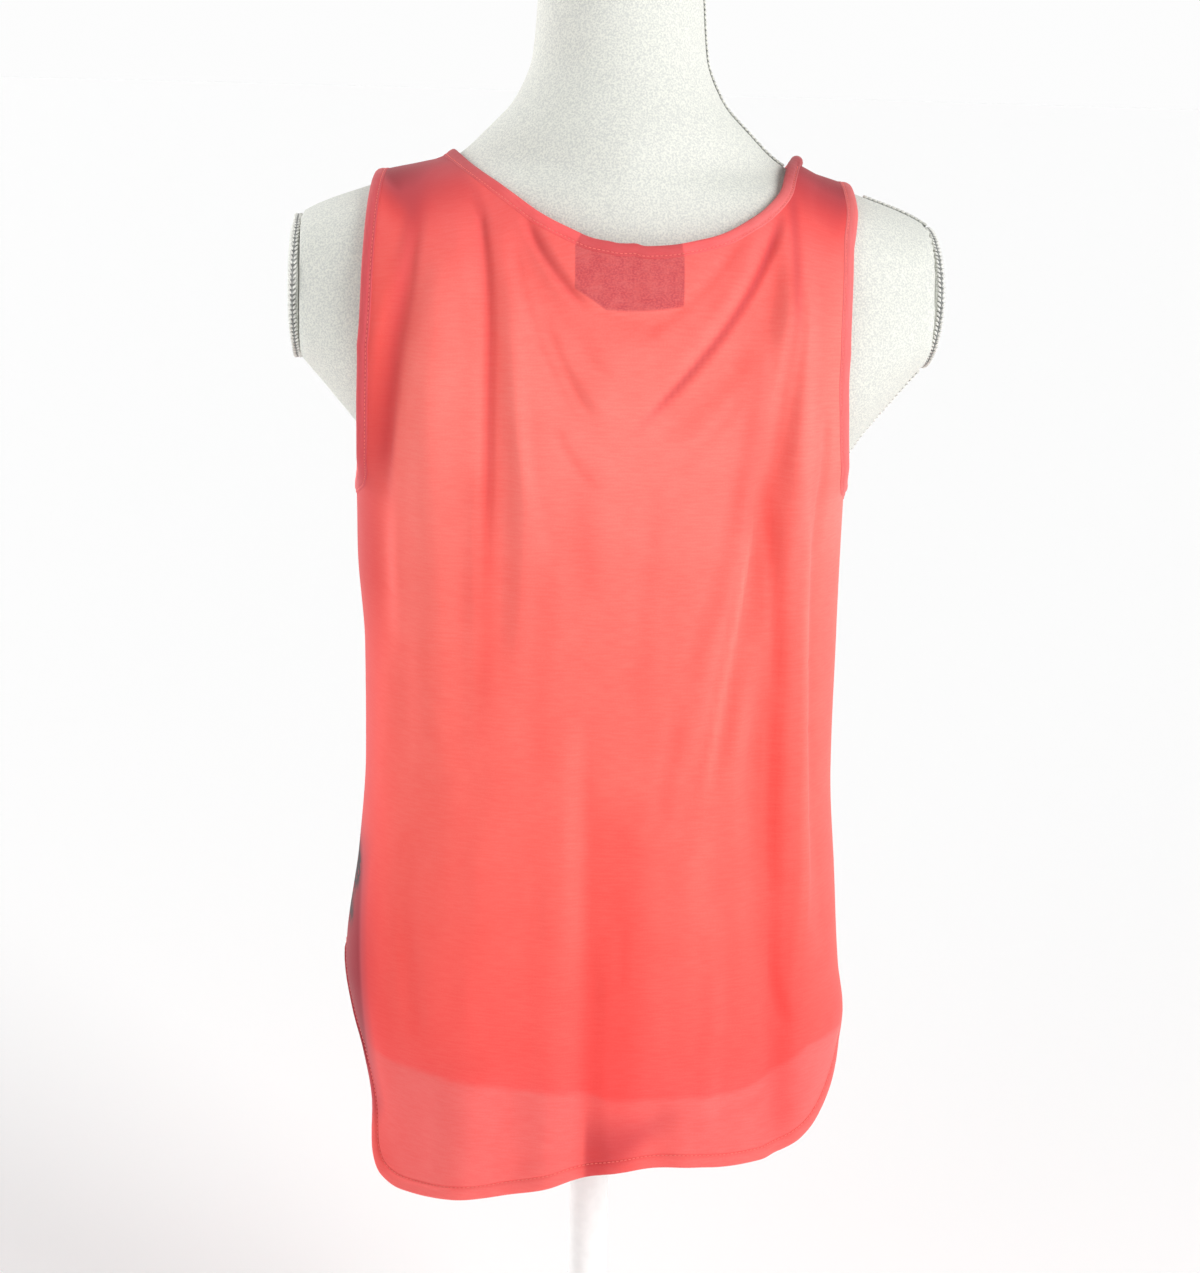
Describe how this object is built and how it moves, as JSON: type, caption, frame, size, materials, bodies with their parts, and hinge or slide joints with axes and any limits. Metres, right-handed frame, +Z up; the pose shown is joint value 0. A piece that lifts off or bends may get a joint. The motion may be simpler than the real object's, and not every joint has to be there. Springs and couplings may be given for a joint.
{
  "type": "tank top on a dress form",
  "caption": "Loose sleeveless jersey top with a scoop neck and curved shirt-tail hem, worn on a limbless dress form with a round stand.",
  "frame": {"origin": "centre of the base plate's underside, where the stand meets the floor", "axes": "+Z up, -Y out of the wearer's front, +X to the wearer's left"},
  "size_m": [0.4086, 0.29, 1.0073],
  "materials": {
    "jersey": "thin plain coral jersey, matt with a faint sheen",
    "printed_jersey": "coral jersey with small black and pale scattered leaf spots",
    "binding": "narrow self-fabric binding with one row of stitching",
    "label": "blank woven neck label",
    "form_cover": "pale woven cover with a fine speckle",
    "plate_cover": "pale woven cover over a hard plate",
    "stand_metal": "satin pale grey paint"
  },
  "bodies": {
    "root": {"back_panel": "jersey", "front_panel": "printed_jersey", "neck_binding": "binding", "armhole_binding_left": "binding", "armhole_binding_right": "binding", "neck_label": "label", "form_body": "form_cover", "arm_plate_left": "plate_cover", "arm_plate_right": "plate_cover", "neck_cap": "stand_metal", "stand_collar": "stand_metal", "stand_pole": "stand_metal", "base_plate": "stand_metal"}
  },
  "joints": []
}
